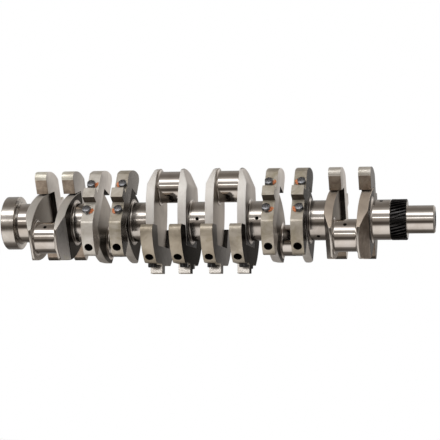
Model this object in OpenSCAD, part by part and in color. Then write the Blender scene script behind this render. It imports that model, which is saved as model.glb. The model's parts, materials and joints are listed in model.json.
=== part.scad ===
// Crankshaft of a heavy-duty in-line six diesel engine: one forging with
// seven main journals, six crankpins and twelve webs, a bolted counterweight
// on every web, a helical drive gear on the nose and a flywheel flange.
// X runs along the main journals from the flywheel flange to the nose, and
// Z points up, the way the third and fourth crankpins point.
// The origin is the centre of the flange's outer face. Sizes in millimetres.

/* [Journals] */
// Diameter of the main journals
main_d = 94; // [90:1:98]
// Diameter of the crankpins
pin_d = 75; // [70:1:80]
// Distance from the main axis to each crankpin's axis
throw_radius = 82.5; // [80:0.5:85]
// Length of each crankpin between its webs
pin_len = 56; // [52:1:58]
// Length of each main journal between two throws
main_len = 45; // [42:1:50]
// Radius of the fillets at the ends of the journals
journal_fillet = 4; // [3:0.5:5]
// Diameter of the oil drillings
oil_hole_d = 7; // [5:0.5:9]

/* [Webs] */
// Thickness of each web
web_len = 20.5; // [18:0.5:24]
// Largest half width of a web
web_half = 68.5; // [64:0.5:72]
// Radius of the turned rim at the web's tip
web_tip = 126; // [124:0.5:130]
// Distance from the main axis to the flat seat under the counterweight
seat_depth = 60; // [58:0.5:62]
// Slope of the flat relief on the main side of the web's tip
relief_angle = 21; // [15:1:23]

/* [Counterweights] */
// Outer radius of the counterweights
weight_r = 124; // [120:0.5:128]
// Thickness of a counterweight along the shaft
weight_len = 29; // [26:0.5:32]
// Distance from the main axis to the flat land under the bolt heads
land_depth = 102; // [98:0.5:106]
// Width of the raised block between the two bolts
block_w = 27; // [22:1:32]
// Distance between the two bolts of a counterweight
bolt_gap = 73; // [70:1:80]
// Diameter of the balancing hole in a counterweight's rim
balance_d = 19; // [12:1:22]

/* [Bolts] */
// Thread diameter of the counterweight bolts
bolt_d = 12; // [10:1:14]
// Width across the flats of the bolt heads
bolt_af = 18; // [17:1:21]
// Height of the bolt heads
bolt_head = 11; // [8:1:13]

/* [Flywheel flange] */
// Diameter of the flange
flange_d = 128; // [124:1:132]
// Thickness of the flange
flange_len = 33; // [30:1:36]
// Pitch circle of the flywheel bolts
flange_pcd = 100; // [96:1:102]
// Number of flywheel bolts
flange_bolts = 8; // [6:1:10]
// Diameter of the flywheel bolt holes
flange_hole_d = 14; // [12:1:14]
// Diameter of the pilot bore
pilot_d = 62; // [52:1:66]

/* [Nose] */
// Diameter of the nose
nose_d = 65; // [60:1:66]
// Length of the nose beyond the gear
nose_len = 63.5; // [50:0.5:80]
// Outside diameter of the gear
gear_od = 95.2; // [94:0.2:97]
// Width of the gear
gear_len = 37; // [32:1:40]
// Number of teeth on the gear
gear_teeth = 34; // [30:1:38]
// Helix angle of the gear's teeth
gear_helix = 15; // [10:1:20]

/* [Hidden] */

// Directions of the six throws, turned about +X from +Z
throw_angles = [120, -120, 0, 0, -120, 120];
throws = len(throw_angles);
// Where each throw's weights have their balancing holes, turned about +X from
// the weight's centre line
balance_angles = [50, 63, -43.7, -43.7, 63, 50];
// Where each journal's oil drilling comes out, turned about +X from +Z
main_oil_angles = [267, 267, 327, 87, 87, 147, 27];
pin_oil_turn = -67;

steel = "silver";
cast = "darkgray";
black_oxide = "#2b2a2a";
bolt_blue = "#5d6470";

throw_len = pin_len + 2 * web_len;
throw_pitch = throw_len + main_len;
end_main_len = 42.5;
// The last web is thicker than the others on its main side
nose_web_extra = 3.5;
first_web_x = flange_len + end_main_len;
nose_main_x = first_web_x + (throws - 1) * throw_pitch + throw_len;
nose_main_len = 48;
gear_x = nose_main_x + nose_main_len;
nose_x = gear_x + gear_len;
nose_end_x = nose_x + nose_len;

collar_len = 1;
main_collar_d = main_d + 16;
pin_collar_d = pin_d + 14;
embed = 1.5;
round_fn = 96;

web_wide_at = 30;
web_bend = 151.4;
web_taper = 0.00174;
relief_from = 85;

// Where each throw's two arms end, measured from the main axis: first the arm
// that lies a quarter turn on from the throw about +X, then the other one
arm_ends = [[22, 14], [14, 22], [14, 14], [14, 14], [14, 22], [22, 14]];
// How far each weight stands off its web's main side, towards the crankpin
weight_steps = [2, -1, 0, 0, 0, 0, 0, 0, 0, 0, 2, -nose_web_extra];
arm_gap_end = 70;
arm_gap_seat = 56;
arm_corner = 14;
land_corner = 9;
seat_clear = 0.3;
balance_depth = 22;
spot_d = 31;
spot_depth = 2;
bolt_x = web_len / 2;
bolt_hole_d = bolt_d + 1;
thread_len = 24;
head_seat = land_depth - spot_depth;

gear_tooth_h = 5.7;
gear_root_d = gear_od - 2 * gear_tooth_h;
gear_bore_d = 70;
gear_groove_root = 1.9;
gear_groove_tip = 5.9;
gear_chamfer = 1.5;
key_w = 10;
key_h = 8;
key_len = 26;
nose_chamfer = 3;
nose_recess_d = 40;
nose_recess_len = 4;
nose_thread_d = 20.5;
nose_thread_len = 45;

pilot_len = 20;
flange_hole_len = 24;
flange_chamfer = 1.5;
flange_back_d = 104;
flange_back_len = 4;
dowel_d = 10;
dowel_out = 9;
dowel_in = 14;

function throw_x(k) = first_web_x + k * throw_pitch + throw_len / 2;
// A web's throw, counted from 0, and its main-side face along X
function throw_of(i) = floor((i - 1) / 2);
function is_rear(i) = i % 2 == 1;
function web_face_x(i) =
  throw_x(throw_of(i)) + (is_rear(i) ? -1 : 1) * throw_len / 2;

// Half width of a web at height s above the main axis
function flank(s) =
  s < web_wide_at
    ? web_half - web_taper * pow(web_wide_at - s, 2)
    : web_half - web_bend + sqrt(pow(web_bend, 2) - pow(s - web_wide_at, 2));
flank_rows = 20;
flank_step = (web_tip + 2 + seat_depth) / flank_rows;
function flank_s(j) = -seat_depth + j * flank_step;
web_outline = concat(
  [for (j = [0 : flank_rows]) [flank(flank_s(j)), flank_s(j)]],
  [for (j = [flank_rows : -1 : 0]) [-flank(flank_s(j)), flank_s(j)]]
);

// Points on a round corner about a centre
function arc(cx, cy, r, a0, a1, n = 5) = [
  for (j = [0 : n]) let (a = a0 + (a1 - a0) * j / n)
    [cx + r * cos(a), cy + r * sin(a)]
];
// The rim meets the arm's end and the bolt land through round corners
rim_land_angle = asin((land_depth - land_corner) / (weight_r - land_corner));
rim_steps = 10;
land_c = (weight_r - land_corner) * [cos(rim_land_angle),
                                     sin(rim_land_angle)];
// Where the round corner of an arm meets the rim, for an arm that ends at e
function tip_angle(e) = asin((e + arm_corner) / (weight_r - arm_corner));
// One half of a counterweight's outline, with the far end along +Y
function half_weight(e) = concat(
  [[arm_gap_seat, seat_depth + seat_clear], [arm_gap_end, e]],
  arc((weight_r - arm_corner) * cos(tip_angle(e)), e + arm_corner,
      arm_corner, -90, tip_angle(e)),
  [for (j = [1 : rim_steps - 1])
    let (a = tip_angle(e) + (rim_land_angle - tip_angle(e)) * j / rim_steps)
    weight_r * [cos(a), sin(a)]],
  arc(land_c[0], land_c[1], land_corner, rim_land_angle, 90),
  [[block_w / 2, land_depth]],
  arc(block_w / 2 - 2, weight_r - 2, 2, 0, 90, 3)
);
// The whole outline of throw k's weights
function weight_outline(k) = let (
    low = half_weight(arm_ends[k][0]),
    high = half_weight(arm_ends[k][1])
  ) concat(
    low,
    [for (j = [len(high) - 1 : -1 : 0]) [-high[j][0], high[j][1]]]
  );

// Turns flat outlines into plates that stand across the shaft
module plate(len) {
  rotate([90, 0, 90])
    linear_extrude(height = len)
      children();
}

// Turns a solid made along +Z so that it lies along +X
module along_x() {
  rotate([0, 90, 0])
    children();
}

// Places children on web i: X runs from its main side towards its crankpin,
// and Z points along the throw
module at_web(i) {
  translate([web_face_x(i), 0, 0])
    rotate([throw_angles[throw_of(i)], 0, 0])
      mirror([is_rear(i) ? 0 : 1, 0, 0])
        children();
}

// A ground journal with a collar and a fillet at the ends that meet a web
module journal(len, d, collar_d, low_end = true, high_end = true) {
  r = d / 2;
  f = journal_fillet;
  c = collar_len;
  low = low_end
    ? concat([[0, -embed], [collar_d / 2, -embed], [collar_d / 2, c]],
             arc(r + f, c + f, f, -90, -180, 3))
    : [[0, -embed], [r, -embed]];
  high = high_end
    ? concat(arc(r + f, len - c - f, f, 180, 90, 3),
             [[collar_d / 2, len - c], [collar_d / 2, len + embed],
              [0, len + embed]])
    : [[r, len + embed], [0, len + embed]];
  along_x()
    rotate_extrude($fn = round_fn)
      polygon(concat(low, high));
}

// What the flat relief cuts away from the main side of a web's tip
module tip_relief(extra) {
  tip_rise = web_tip + 10 - relief_from;
  cut = extra + 1;
  rotate([90, 0, 0])
    linear_extrude(height = 3 * web_half, center = true)
      polygon([
        [-cut, relief_from - cut / tan(relief_angle)],
        [tip_rise * tan(relief_angle), relief_from + tip_rise],
        [-cut, relief_from + tip_rise]
      ]);
}

// A web with a turned rim, thicker by extra on its main side
module web(extra) {
  difference() {
    translate([-extra, 0, 0])
      intersection() {
        plate(web_len + extra)
          polygon(web_outline);
        along_x()
          cylinder(h = web_len + extra, r = web_tip, $fn = round_fn);
      }
    tip_relief(extra);
    bolt_positions()
      translate([0, 0, seat_depth - thread_len])
        cylinder(h = thread_len + 1, d = bolt_d, $fn = 32);
  }
}

// The two bolt axes of a web, with Z pointing out through the bolt heads
module bolt_positions() {
  for (side = [-1, 1])
    translate([bolt_x, side * bolt_gap / 2, 0])
      rotate([180, 0, 0])
        children();
}

// A radial oil drilling into a journal of diameter d
module oil_hole(x, angle, d) {
  translate([x, 0, 0])
    rotate([angle, 0, 0])
      translate([0, 0, d / 2 - 15])
        cylinder(h = 20, d = oil_hole_d, $fn = 32);
}

module flange_profile() {
  r = flange_d / 2;
  c = flange_chamfer;
  polygon([
    [0, 0], [r - c, 0], [r, c], [r, flange_len - c], [r - c, flange_len],
    [flange_back_d / 2, flange_len],
    [flange_back_d / 2 - 3, flange_len + flange_back_len],
    [0, flange_len + flange_back_len]
  ]);
}

module nose_profile() {
  polygon([
    [0, -embed], [gear_bore_d / 2, -embed], [gear_bore_d / 2, gear_len],
    [nose_d / 2, gear_len], [nose_d / 2, nose_end_x - gear_x - nose_chamfer],
    [nose_d / 2 - nose_chamfer, nose_end_x - gear_x],
    [0, nose_end_x - gear_x]
  ]);
}

module crank_solid() {
  along_x()
    rotate_extrude($fn = round_fn)
      flange_profile();
  translate([flange_len, 0, 0])
    journal(end_main_len, main_d, main_collar_d, low_end = false);
  for (k = [0 : throws - 2])
    translate([throw_x(k) + throw_len / 2, 0, 0])
      journal(main_len, main_d, main_collar_d);
  translate([nose_main_x + nose_web_extra, 0, 0])
    journal(nose_main_len - nose_web_extra - embed, main_d, main_collar_d,
            high_end = false);
  for (k = [0 : throws - 1])
    translate([throw_x(k) - pin_len / 2, 0, 0])
      rotate([throw_angles[k], 0, 0])
        translate([0, 0, throw_radius])
          journal(pin_len, pin_d, pin_collar_d);
  for (i = [1 : 2 * throws])
    at_web(i)
      web(i == 2 * throws ? nose_web_extra : 0);
  translate([gear_x, 0, 0])
    along_x()
      rotate_extrude($fn = round_fn)
        nose_profile();
}

module flange_holes() {
  translate([-1, 0, 0])
    along_x()
      cylinder(h = pilot_len + 1, d = pilot_d, $fn = round_fn);
  for (j = [0 : flange_bolts - 1])
    rotate([(j + 0.5) * 360 / flange_bolts, 0, 0])
      translate([-1, 0, flange_pcd / 2])
        along_x()
          cylinder(h = flange_hole_len + 1, d = flange_hole_d, $fn = 48);
  translate([-1, 0, flange_pcd / 2])
    along_x()
      cylinder(h = dowel_in + 1, d = dowel_d, $fn = 48);
}

module nose_holes() {
  translate([nose_end_x - nose_recess_len, 0, 0])
    along_x()
      cylinder(h = nose_recess_len + 1, d = nose_recess_d, $fn = round_fn);
  translate([nose_end_x - nose_recess_len - nose_thread_len, 0, 0])
    along_x()
      cylinder(h = nose_thread_len + 1, d = nose_thread_d, $fn = 48);
}

// The seat under the gear key, which lies behind the nose
module key_box(grow) {
  translate([gear_x + (gear_len - key_len) / 2 - grow, -key_w / 2,
             -gear_bore_d / 2 - key_h / 2])
    cube([key_len + 2 * grow, key_w, key_h]);
}

module oil_holes() {
  for (k = [0 : throws])
    oil_hole(k == 0 ? first_web_x - end_main_len / 2
             : k == throws
               ? nose_main_x + (nose_main_len + nose_web_extra) / 2
             : throw_x(k) - throw_len / 2 - main_len / 2,
             main_oil_angles[k], main_d);
  for (k = [0 : throws - 1])
    rotate([throw_angles[k], 0, 0])
      translate([0, 0, throw_radius])
        oil_hole(throw_x(k), pin_oil_turn, pin_d);
}

module crank_forging() {
  color(steel)
    difference() {
      crank_solid();
      flange_holes();
      nose_holes();
      key_box(0);
      oil_holes();
    }
}

// A helical gear whose tooth spaces are straight slanted grooves
module crank_gear() {
  groove = [
    [-gear_groove_root / 2, gear_root_d / 2],
    [gear_groove_root / 2, gear_root_d / 2],
    [gear_groove_tip / 2 + 0.7, gear_od / 2 + 1],
    [-gear_groove_tip / 2 - 0.7, gear_od / 2 + 1]
  ];
  r = gear_od / 2;
  c = gear_chamfer;
  color(black_oxide)
    translate([gear_x, 0, 0])
      difference() {
        along_x()
          rotate_extrude($fn = round_fn)
            polygon([
              [gear_bore_d / 2, 0], [r - c, 0], [r, c], [r, gear_len - c],
              [r - c, gear_len], [gear_bore_d / 2, gear_len]
            ]);
        for (j = [0 : gear_teeth - 1])
          rotate([(j + 0.5) * 360 / gear_teeth, 0, 0])
            translate([gear_len / 2, 0, 0])
              rotate([0, 0, gear_helix])
                translate([-gear_len, 0, 0])
                  plate(2 * gear_len)
                    polygon(groove);
        translate([-gear_x, 0, 0])
          key_box(gear_len);
      }
}

module gear_key() {
  color(steel)
    key_box(0);
}

module flange_dowel() {
  color(steel)
    translate([-dowel_out, 0, flange_pcd / 2])
      along_x()
        rotate_extrude($fn = 48)
          polygon([
            [0, 0], [dowel_d / 2 - 1, 0], [dowel_d / 2, 1],
            [dowel_d / 2, dowel_out + dowel_in],
            [0, dowel_out + dowel_in]
          ]);
}

module counterweight(i) {
  color(cast)
    at_web(i)
      difference() {
        rotate([180, 0, 0])
          translate([weight_steps[i - 1], 0, 0])
            plate(weight_len)
              polygon(weight_outline(throw_of(i)));
        bolt_positions()
          cylinder(h = weight_r, d = bolt_hole_d, $fn = 32);
        bolt_positions()
          translate([0, 0, head_seat])
            cylinder(h = weight_r, d = spot_d, $fn = 48);
        rotate([180 + balance_angles[throw_of(i)], 0, 0])
          translate([weight_steps[i - 1] + weight_len / 2, 0,
                     weight_r - balance_depth])
            cylinder(h = 2 * balance_depth, d = balance_d, $fn = 48);
      }
}

// Two hexagon bolts, screwed into web i
module counterweight_bolts(i) {
  color(bolt_blue)
    at_web(i)
      bolt_positions() {
        translate([0, 0, seat_depth - thread_len + 2])
          cylinder(h = head_seat - seat_depth + thread_len, d = bolt_d,
                   $fn = 32);
        translate([0, 0, head_seat])
          cylinder(h = bolt_head, d = bolt_af / cos(30), $fn = 6);
      }
}

crank_forging();
crank_gear();
gear_key();
flange_dowel();
counterweight(1);  // counterweight_1
counterweight(2);  // counterweight_2
counterweight(3);  // counterweight_3
counterweight(4);  // counterweight_4
counterweight(5);  // counterweight_5
counterweight(6);  // counterweight_6
counterweight(7);  // counterweight_7
counterweight(8);  // counterweight_8
counterweight(9);  // counterweight_9
counterweight(10);  // counterweight_10
counterweight(11);  // counterweight_11
counterweight(12);  // counterweight_12
counterweight_bolts(1);  // counterweight_bolts_1
counterweight_bolts(2);  // counterweight_bolts_2
counterweight_bolts(3);  // counterweight_bolts_3
counterweight_bolts(4);  // counterweight_bolts_4
counterweight_bolts(5);  // counterweight_bolts_5
counterweight_bolts(6);  // counterweight_bolts_6
counterweight_bolts(7);  // counterweight_bolts_7
counterweight_bolts(8);  // counterweight_bolts_8
counterweight_bolts(9);  // counterweight_bolts_9
counterweight_bolts(10);  // counterweight_bolts_10
counterweight_bolts(11);  // counterweight_bolts_11
counterweight_bolts(12);  // counterweight_bolts_12
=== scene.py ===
"""Looks of the crankshaft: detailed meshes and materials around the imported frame.

X runs along the main journals from the flywheel flange to the nose, and Z points
along the two middle crankpins. Lengths are in metres.
"""
import json
import math

import bmesh
import bpy
import numpy as np
from mathutils import Matrix, Vector


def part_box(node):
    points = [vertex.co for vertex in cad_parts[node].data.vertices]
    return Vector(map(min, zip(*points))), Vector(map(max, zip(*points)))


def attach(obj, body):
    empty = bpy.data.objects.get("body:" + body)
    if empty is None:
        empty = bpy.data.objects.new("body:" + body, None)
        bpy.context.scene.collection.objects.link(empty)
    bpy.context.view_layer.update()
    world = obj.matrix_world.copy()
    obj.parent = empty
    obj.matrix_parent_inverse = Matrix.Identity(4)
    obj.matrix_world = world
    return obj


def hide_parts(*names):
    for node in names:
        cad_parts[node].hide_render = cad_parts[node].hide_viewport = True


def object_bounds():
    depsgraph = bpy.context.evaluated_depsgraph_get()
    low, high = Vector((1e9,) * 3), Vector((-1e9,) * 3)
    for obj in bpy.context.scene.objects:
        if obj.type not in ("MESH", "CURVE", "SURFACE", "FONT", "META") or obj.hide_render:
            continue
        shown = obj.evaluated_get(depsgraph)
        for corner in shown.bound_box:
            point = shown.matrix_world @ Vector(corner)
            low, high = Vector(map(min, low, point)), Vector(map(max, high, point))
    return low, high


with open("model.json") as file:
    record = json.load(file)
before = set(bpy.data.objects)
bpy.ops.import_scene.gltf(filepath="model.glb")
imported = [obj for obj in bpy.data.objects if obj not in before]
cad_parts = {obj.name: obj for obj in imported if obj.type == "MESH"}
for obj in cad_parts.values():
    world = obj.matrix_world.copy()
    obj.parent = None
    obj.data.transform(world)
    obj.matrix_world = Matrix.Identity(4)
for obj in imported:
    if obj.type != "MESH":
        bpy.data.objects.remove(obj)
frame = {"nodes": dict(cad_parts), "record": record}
cad_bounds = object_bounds()

MM = 0.001
TINY = 1e-9
THROWS = 6
WEBS = 2 * THROWS

# ---------------------------------------------------------------- the frame
mounts = {m["name"]: m for m in frame["record"]["mounts"]}
forging_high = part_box("crank_forging")[1]
gear_low, gear_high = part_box("crank_gear")
weight_boxes = {i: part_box(f"counterweight_{i}") for i in range(1, WEBS + 1)}

MAIN_R = mounts["main_journal_2"]["dims"]["r_mm"] * MM
MAIN_LEN = mounts["main_journal_2"]["dims"]["length_mm"] * MM
PIN_R = mounts["crankpin_1"]["dims"]["r_mm"] * MM
PIN_LEN = mounts["crankpin_1"]["dims"]["length_mm"] * MM
NOSE_R = mounts["nose"]["dims"]["r_mm"] * MM
FLANGE_R = mounts["rear_seal_rim"]["dims"]["r_mm"] * MM
PILOT_R = mounts["pilot_bore"]["dims"]["r_mm"] * MM
PILOT_LEN = mounts["pilot_bore"]["dims"]["length_mm"] * MM
pin_centres = [Vector(mounts[f"crankpin_{k + 1}"]["pos_m"]) for k in range(THROWS)]
WEIGHT_LEN = (weight_boxes[1][1] - weight_boxes[1][0]).x
BOX_CLEAR = 0.01 * MM
WEIGHT_R = -weight_boxes[5][0].z - BOX_CLEAR


def throw_angle(k):
    """Turn about +X that takes +Z to throw k, counted from 0."""
    return math.atan2(-pin_centres[k].y, pin_centres[k].z)


WEB_LEN = 20.5 * MM
FLANGE_LEN = 33 * MM


def web_face_x(i):
    """X of the main-side face of web i, counted from 1."""
    out = PIN_LEN / 2 + WEB_LEN
    return pin_centres[(i - 1) // 2].x + (-out if i % 2 else out)


def weight_step(i):
    """How far weight i stands off its web's main side, towards the pin."""
    low, high = weight_boxes[i]
    return low.x - web_face_x(i) if i % 2 else web_face_x(i) - high.x


FIRST_WEB_X = web_face_x(1)
last_main = mounts[f"main_journal_{THROWS + 1}"]
LAST_MAIN_X = last_main["pos_m"][0] - last_main["dims"]["length_mm"] * MM / 2
LAST_WEB_EXTRA = LAST_MAIN_X - web_face_x(WEBS)

# Shapes of the forging that the frame doesn't state
WEB_HALF = 68.5 * MM
WEB_TIP = 126 * MM
WEB_WIDE_AT = 30 * MM
WEB_TAPER = 0.00174 / MM
WEB_BEND = 151.4 * MM
SEAT = 60 * MM
WEB_EDGE = 1.4 * MM
RELIEF_FROM = 85 * MM
RELIEF_SLOPE = math.tan(math.radians(21))
COLLAR = 1 * MM
COLLAR_EDGE = 0.4 * MM
MAIN_COLLAR_R = MAIN_R + 8 * MM
PIN_COLLAR_R = PIN_R + 7 * MM
FILLET = 4 * MM
EMBED = 1.5 * MM
FLANGE_CHAMFER = 1.5 * MM
FLANGE_BACK_R = 52 * MM
FLANGE_BACK_LEN = 4 * MM
FLANGE_BACK_FILLET = 1.5 * MM
GEAR_SEAT_R = 35 * MM
SHOULDER_CHAMFER = 1.2 * MM
NOSE_CHAMFER = 3 * MM
RECESS_R = 20 * MM
RECESS_DEPTH = 4 * MM
THREAD_R = mounts["nose_thread"]["dims"]["r_mm"] * MM
THREAD_LEN = mounts["nose_thread"]["dims"]["length_mm"] * MM
OIL_R = 3.5 * MM
OIL_DEPTH = 15 * MM
FLANGE_HOLE_DEPTH = 24 * MM
OIL_EASE = 0.9 * MM
HOLE_EASE = 0.8 * MM
BALANCE_EASE = 0.6 * MM
# How far a cutter stands out of the metal that it cuts
PAST = 5 * MM
MAIN_OIL_ANGLES = (267, 267, 327, 87, 87, 147, 27)
PIN_OIL_TURN = -67
JOURNAL_STEPS = 128
PIN_STEPS = 112

# Shapes of the counterweights and their bolts
ARM_GAP_END = 70 * MM
ARM_GAP_SEAT = 56 * MM
ARM_CORNER = 14 * MM
LAND = 102 * MM
LAND_CORNER = 9 * MM
BLOCK_HALF = 13.5 * MM
SEAT_CLEAR = 0.3 * MM
WEIGHT_EDGE = 2.4 * MM
BOLT_X = WEB_LEN / 2
BOLT_SIDE = 36.5 * MM
BOLT_R = 6 * MM
BOLT_AF = 18 * MM
BOLT_HEAD = 11 * MM
SPOT_R = 15.5 * MM
SPOT_DEPTH = 2 * MM
BALANCE_R = 9.5 * MM
BALANCE_DEPTH = 22 * MM
BALANCE_ANGLES = (50, 63, -43.7, -43.7, 63, 50)
# Where the two arms of each throw's weights end, in millimetres from the main axis
ARM_ENDS = ((22, 14), (14, 22), (14, 14), (14, 14), (14, 22), (22, 14))
BOLT_SPIN = 0.7
BOLT_BELOW_SEAT = 24 * MM
BLOCK_CHAMFER = 1 * MM
# Half sizes of a paint dab along the shaft, across it and upwards
DAB_SIZE = (5.8 * MM, 6.8 * MM, 2.2 * MM)

# The gear. Half widths of a tooth are shares of the pitch.
GEAR_TEETH = 34
GEAR_HELIX = math.radians(15)
GEAR_CHAMFER = 1.5 * MM
BORE_CHAMFER = 0.8 * MM
TOOTH_HEIGHT = 5.7 * MM
TOOTH_ADDENDUM = 2.5 * MM
TOOTH_ROOT = 0.36
TOOTH_FOOT = 0.32
TOOTH_TIP = 0.13

# The forging's materials, and the number of each on the mesh
FORGING_MATERIALS = (
    "ground_steel", "web_face", "blasted_flank", "turned_steel", "shaded_hole", "web_inner_face",
    "satin_steel_shaded", "relief_face", "web_face_pale", "forged_brown", "grey_flank", "brown_flank",
    "web_inner_shaded", "web_inner_dim", "relief_face_pale",
)
(
    GROUND, FACE, FLANK, TURNED, HOLE, INNER,
    SATIN_SHADED, RELIEF, FACE_PALE, RELIEF_BROWN, FLANK_GREY, FLANK_BROWN,
    INNER_SHADED, INNER_DIM, RELIEF_PALE,
) = range(len(FORGING_MATERIALS))

# Webs that differ from the usual materials, by number. Webs 6 and 8 have painted shade towards the bottom
# of their main-side cheeks, webs 3 and 9 of their pin-side cheeks.
WEB_FACES = {6: FACE_PALE, 8: FACE_PALE}
WEB_RELIEFS = {2: RELIEF_PALE, 12: RELIEF_BROWN}
WEB_FLANKS = {
    1: FLANK_GREY, 2: FLANK_GREY, 3: FLANK_GREY, 4: FLANK_GREY, 11: FLANK_BROWN, 12: FLANK_BROWN,
}
WEB_INNERS = {1: INNER_DIM, 3: INNER_SHADED, 9: INNER_SHADED}

# The numbers of a weight's materials, and the weights that differ from the usual ones. Among them are
# painted light and shade: shaded copies for dim sides, lower arms, block sides and bolts, and lit copies
# for weight 2's side and the arm ends of weights 1 and 2.
RIM, MAIN_SIDE, BALANCE_HOLE, PIN_SIDE, SEAT_SHADE, PAINT, ARM_END, SHADED_UNDERSIDE, BLOCK_FRONT = range(9)
RIM_MATERIALS = {
    1: "weight_bright", 2: "weight_bright", 4: "weight_stained", 5: "weight_brown", 6: "weight_brown",
    7: "weight_brown", 8: "weight_stained", 9: "weight_stained", 10: "weight_stained",
}
MAIN_SIDE_MATERIALS = {
    2: "weight_side_lit", 6: "weight_side_deep_shade", 8: "weight_side_deep_shade", 10: "weight_side_shade",
}
PIN_SIDE_MATERIALS = {5: "weight_inner_brown", 7: "weight_inner_brown"}
ARM_END_MATERIALS = {1: "cast_end_lit", 2: "cast_end_lit"}
# The bolts of these weights take a darker copy as painted shade.
SHADED_BOLTS = (5, 6, 7, 8)
LOW_ARM_WEIGHTS = (1, 2, 11, 12)
PAINTED_WEIGHTS = (3, 4, 9, 10)
LIT_BLOCKS = (5, 6, 7, 8)


# ---------------------------------------------------------------- mesh tools
def make_object(name, verts, faces, materials, indices=None):
    mesh = bpy.data.meshes.new(name)
    mesh.from_pydata([tuple(v) for v in verts], [], faces)
    for material in materials:
        mesh.materials.append(material)
    if indices is not None:
        mesh.polygons.foreach_set("material_index", indices)
    mesh.update()
    obj = bpy.data.objects.new(name, mesh)
    bpy.context.scene.collection.objects.link(obj)
    bm = bmesh.new()
    bm.from_mesh(mesh)
    bmesh.ops.recalc_face_normals(bm, faces=bm.faces)
    bm.to_mesh(mesh)
    bm.free()
    return obj


class Shells:
    """Collects closed shells with a material number on each face."""

    def __init__(self):
        self.verts = []
        self.faces = []
        self.indices = []

    def add(self, verts, faces, indices, matrix=None):
        base = len(self.verts)
        matrix = matrix or Matrix.Identity(4)
        flip = matrix.determinant() < 0
        self.verts += [matrix @ Vector(v) for v in verts]
        for face in faces:
            face = [base + n for n in face]
            self.faces.append(face[::-1] if flip else face)
        self.indices += list(indices)

    def build(self, name, materials):
        return make_object(name, self.verts, self.faces, materials, self.indices)


def strips(rings, count):
    """The faces between rings of count points each, ring by ring."""
    faces = []
    for start in range(0, (rings - 1) * count, count):
        for j in range(count):
            k = (j + 1) % count
            faces.append((start + j, start + k, start + count + k, start + count + j))
    return faces


def lathe(profile, steps=96, numbers=None):
    """Turns (x, r) points about X. The first and last points are on the axis."""
    verts = [(profile[0][0], 0, 0)]
    inner = profile[1:-1]
    for x, r in inner:
        for j in range(steps):
            a = 2 * math.pi * j / steps
            verts.append((x, r * math.sin(a), r * math.cos(a)))
    last = len(verts)
    verts.append((profile[-1][0], 0, 0))
    numbers = numbers or [0] * (len(profile) - 1)
    faces, indices = [], []
    for j in range(steps):
        k = (j + 1) % steps
        faces.append((0, 1 + j, 1 + k))
        indices.append(numbers[0])
        for row in range(len(inner) - 1):
            a, b = 1 + row * steps, 1 + (row + 1) * steps
            faces.append((a + j, b + j, b + k, a + k))
            indices.append(numbers[row + 1])
        end = 1 + (len(inner) - 1) * steps
        faces.append((end + k, end + j, last))
        indices.append(numbers[-1])
    return verts, faces, indices


def arc(cx, cy, r, start, end, steps=6):
    turn = [math.radians(start + (end - start) * j / steps) for j in range(steps + 1)]
    return [(cx + r * math.cos(a), cy + r * math.sin(a)) for a in turn]


def journal_profile(length, r, collar_r, low=True, high=True):
    """Profile of a ground journal, and the material number of each stretch."""
    points, numbers = [(-EMBED, 0)], [RELIEF]
    if low:
        points += [(-EMBED, collar_r), (COLLAR - COLLAR_EDGE, collar_r), (COLLAR, collar_r - COLLAR_EDGE)]
        numbers += [RELIEF] * 3
        points += arc(COLLAR + FILLET, r + FILLET, FILLET, -180, -90)
        numbers += [GROUND] * 7
    else:
        points += [(-EMBED, r)]
        numbers += [GROUND]
    if high:
        points += arc(length - COLLAR - FILLET, r + FILLET, FILLET, -90, 0)
        numbers += [GROUND] * 6 + [RELIEF]
        points += [(length - COLLAR, collar_r - COLLAR_EDGE), (length - COLLAR + COLLAR_EDGE, collar_r)]
        points += [(length + EMBED, collar_r)]
        numbers += [RELIEF] * 3
    else:
        points += [(length + EMBED, r)]
        numbers += [TURNED]
    points += [(length + EMBED, 0)]
    return points, numbers


def smooth(obj, angle=35):
    for polygon in obj.data.polygons:
        polygon.use_smooth = True
    obj.data.set_sharp_from_angle(angle=math.radians(angle))


def weighted(obj):
    modifier = obj.modifiers.new("weighted", "WEIGHTED_NORMAL")
    modifier.keep_sharp = True
    modifier.weight = 60


def apply_modifiers(obj):
    graph = bpy.context.evaluated_depsgraph_get()
    mesh = bpy.data.meshes.new_from_object(obj.evaluated_get(graph))
    obj.modifiers.clear()
    old = obj.data
    obj.data = mesh
    bpy.data.meshes.remove(old)


def combine(obj, other, operation):
    modifier = obj.modifiers.new(operation, "BOOLEAN")
    modifier.operation = operation
    modifier.solver = "EXACT"
    modifier.object = other
    bpy.context.view_layer.update()
    apply_modifiers(obj)
    bpy.data.objects.remove(other)


def finish_piece(obj, node):
    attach(obj, "root")
    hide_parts(node)
    return obj


def at_web(i):
    """Places a local frame at web i: X from the main side to the pin, Z along the throw."""
    mirror = Matrix.Scale(1 if i % 2 else -1, 4, (1, 0, 0))
    turn = Matrix.Rotation(throw_angle((i - 1) // 2), 4, "X")
    return Matrix.Translation((web_face_x(i), 0, 0)) @ turn @ mirror


def cutter_cylinder(r, z0, z1, steps=40, flare=0.0, flare_at=0.0):
    """A closed cylinder along Z, with a countersink that widens it by 2 * flare at flare_at."""
    profile = [(z0, 0), (z0, r)]
    if flare:
        profile += [(flare_at - flare, r), (flare_at + flare, r + 2 * flare)]
        profile += [(z1, r + 2 * flare), (z1, 0)]
    else:
        profile += [(z1, r), (z1, 0)]
    verts, faces, _ = lathe(profile, steps)
    verts = [(-v[2], v[1], v[0]) for v in verts]
    return verts, faces, [HOLE] * len(faces)


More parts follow.
